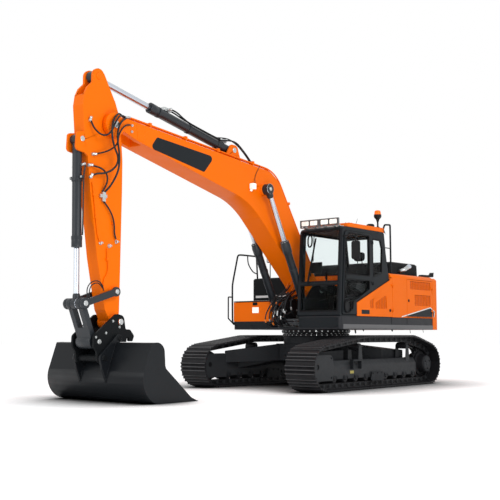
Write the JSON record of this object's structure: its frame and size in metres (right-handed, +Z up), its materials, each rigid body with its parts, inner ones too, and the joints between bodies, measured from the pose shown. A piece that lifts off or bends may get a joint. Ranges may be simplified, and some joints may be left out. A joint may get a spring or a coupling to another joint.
{
  "type": "crawler excavator",
  "caption": "Crawler excavator with slewing cab and engine house, boom, arm, hydraulic cylinders, quick coupler and wide smooth-lipped bucket.",
  "frame": {"origin": "on the ground under the slew axis, midway between the tracks", "axes": "+X the working direction, towards the bucket; +Y the cab side; +Z up"},
  "size_m": [8.8468, 3.2, 4.87],
  "materials": {
    "orange_paint": "satin orange paint",
    "dark_paint": "satin dark grey paint",
    "black_paint": "black paint",
    "track_steel": "dark forged steel, slightly worn",
    "rod_chrome": "polished chromed rod",
    "bucket_steel": "black painted plate steel",
    "glass": "lightly tinted glass",
    "lamp": "lamp housings",
    "beacon_amber": "amber lens",
    "seat_cloth": "dark cloth",
    "plastic": "dark moulded plastic",
    "engine_grey": "engine block grey"
  },
  "bodies": {
    "undercarriage": {"car_body": "black_paint", "swing_bearing": "black_paint", "track_frame_left": "black_paint", "track_frame_right": "black_paint", "idler_guard_left": "black_paint", "idler_guard_right": "black_paint", "track_left": "track_steel", "track_right": "track_steel", "idlers": "track_steel", "final_drives": "track_steel", "rollers_left": "track_steel", "rollers_right": "track_steel"},
    "house": {"deck": "dark_paint", "counterweight": "orange_paint", "engine": "engine_grey", "house_shell": "orange_paint", "fuel_tank": "orange_paint", "tool_box": "orange_paint", "handrails": "black_paint", "cab_shell": "black_paint", "cab_roof": "orange_paint", "cab_glass": "glass", "seat": "seat_cloth", "consoles": "plastic", "light_bar": "lamp", "beacon": "beacon_amber", "mirrors": "plastic", "tail_guard": "black_paint"},
    "left_front_panel": {"left_front_door": "orange_paint"},
    "left_rear_panel": {"left_rear_door": "orange_paint"},
    "right_panel": {"right_door": "orange_paint"},
    "hood": {"engine_hood": "black_paint", "exhaust": "black_paint"},
    "box_lid": {"tool_box_lid": "dark_paint"},
    "cab_entry": {"cab_door": "black_paint", "cab_door_glass": "glass"},
    "boom": {"boom": "orange_paint", "boom_lamps": "lamp"},
    "arm": {"arm": "orange_paint"},
    "boom_barrel_left": {"boom_cylinder_barrel_left": "dark_paint"},
    "boom_barrel_right": {"boom_cylinder_barrel_right": "dark_paint"},
    "boom_rod_left": {"boom_cylinder_rod_left": "rod_chrome"},
    "boom_rod_right": {"boom_cylinder_rod_right": "rod_chrome"},
    "arm_barrel": {"arm_cylinder_barrel": "dark_paint"},
    "arm_rod": {"arm_cylinder_rod": "rod_chrome"},
    "bucket_barrel": {"bucket_cylinder_barrel": "dark_paint"},
    "bucket_rod": {"bucket_cylinder_rod": "rod_chrome"},
    "guides": {"guide_links": "black_paint"},
    "link": {"bucket_link": "black_paint"},
    "bucket": {"coupler": "black_paint", "bucket": "bucket_steel"}
  },
  "joints": [
    {"name": "slewing", "type": "hinge", "parent": "undercarriage", "child": "house", "pos_m": [0, 0, 0.984], "axis": [0, 0, 1], "continuous": true},
    {"name": "boom_lift", "type": "hinge", "parent": "house", "child": "boom", "pos_m": [0.22, 0, 1.8], "axis": [0, -1, 0], "range_deg": [-64, 37]},
    {"name": "arm_swing", "type": "hinge", "parent": "boom", "child": "arm", "pos_m": [5.44, 0, 4.06], "axis": [0, 1, 0], "range_deg": [-84, 36]},
    {"name": "bucket_curl", "type": "hinge", "parent": "arm", "child": "bucket", "pos_m": [5.32, 0, 1.15], "axis": [0, -1, 0], "range_deg": [-85, 90]},
    {"name": "guide_turn", "type": "hinge", "parent": "arm", "child": "guides", "pos_m": [5.355, 0, 1.59], "axis": [0, -1, 0], "range_deg": [-65, 68]},
    {"name": "link_turn", "type": "hinge", "parent": "guides", "child": "link", "pos_m": [5.945, 0, 1.405], "axis": [0, -1, 0], "range_deg": [-46, 44]},
    {"name": "bucket_barrel_turn", "type": "hinge", "parent": "arm", "child": "bucket_barrel", "pos_m": [5.985, 0, 3.77], "axis": [0, -1, 0], "range_deg": [-3, 3]},
    {"name": "bucket_rod_travel", "type": "slide", "parent": "bucket_barrel", "child": "bucket_rod", "axis": [-0.0169, 0, -0.9999], "range_m": [-0.42, 0.42]},
    {"name": "arm_barrel_turn", "type": "hinge", "parent": "boom", "child": "arm_barrel", "pos_m": [2.6, 0, 4.14], "axis": [0, 1, 0], "range_deg": [-3, 3]},
    {"name": "arm_rod_travel", "type": "slide", "parent": "arm_barrel", "child": "arm_rod", "axis": [0.9808, 0, 0.1952], "range_m": [-0.72, 0.32]},
    {"name": "boom_barrel_turn_left", "type": "hinge", "parent": "house", "child": "boom_barrel_left", "pos_m": [0.7, 0.336, 1.22], "axis": [0, -1, 0], "range_deg": [-66, 40]},
    {"name": "boom_barrel_turn_right", "type": "hinge", "parent": "house", "child": "boom_barrel_right", "pos_m": [0.7, -0.336, 1.22], "axis": [0, -1, 0], "range_deg": [-66, 40]},
    {"name": "boom_rod_travel_left", "type": "slide", "parent": "boom_barrel_left", "child": "boom_rod_left", "axis": [0.4716, 0, 0.8818], "range_m": [-0.66, 0.4]},
    {"name": "boom_rod_travel_right", "type": "slide", "parent": "boom_barrel_right", "child": "boom_rod_right", "axis": [0.4716, 0, 0.8818], "range_m": [-0.66, 0.4]},
    {"name": "cab_door_opening", "type": "hinge", "parent": "house", "child": "cab_entry", "pos_m": [0.104, 1.362, 1.9], "axis": [0, 0, 1], "range_deg": [0, 165]},
    {"name": "left_front_door_opening", "type": "hinge", "parent": "house", "child": "left_front_panel", "pos_m": [-0.591, 1.367, 1.42], "axis": [0, 0, -1], "range_deg": [-100, 0]},
    {"name": "left_rear_door_opening", "type": "hinge", "parent": "house", "child": "left_rear_panel", "pos_m": [-2.176, 1.367, 1.42], "axis": [0, 0, 1], "range_deg": [0, 100]},
    {"name": "right_door_opening", "type": "hinge", "parent": "house", "child": "right_panel", "pos_m": [-2.176, -1.367, 1.42], "axis": [0, 0, -1], "range_deg": [0, 100]},
    {"name": "hood_opening", "type": "hinge", "parent": "house", "child": "hood", "pos_m": [-2.166, -0.6, 2.138], "axis": [0, -1, 0], "range_deg": [0, 65]},
    {"name": "tool_box_lid_opening", "type": "hinge", "parent": "house", "child": "box_lid", "pos_m": [0.312, -1.25, 1.62], "axis": [0, -1, 0], "range_deg": [0, 80]}
  ],
  "couplings": [
    {"joint": "guide_turn", "follows": "bucket_curl", "ratio": 0.72},
    {"joint": "link_turn", "follows": "bucket_curl", "ratio": -0.48},
    {"joint": "bucket_barrel_turn", "follows": "bucket_curl", "ratio": -0.02},
    {"joint": "bucket_rod_travel", "follows": "bucket_curl", "m_per_rad": -0.26},
    {"joint": "arm_barrel_turn", "follows": "arm_swing", "ratio": 0.005},
    {"joint": "arm_rod_travel", "follows": "arm_swing", "m_per_rad": 0.485},
    {"joint": "boom_barrel_turn_left", "follows": "boom_lift", "ratio": 0.985},
    {"joint": "boom_barrel_turn_right", "follows": "boom_lift", "ratio": 0.985},
    {"joint": "boom_rod_travel_left", "follows": "boom_lift", "m_per_rad": 0.56},
    {"joint": "boom_rod_travel_right", "follows": "boom_lift", "m_per_rad": 0.56}
  ]
}
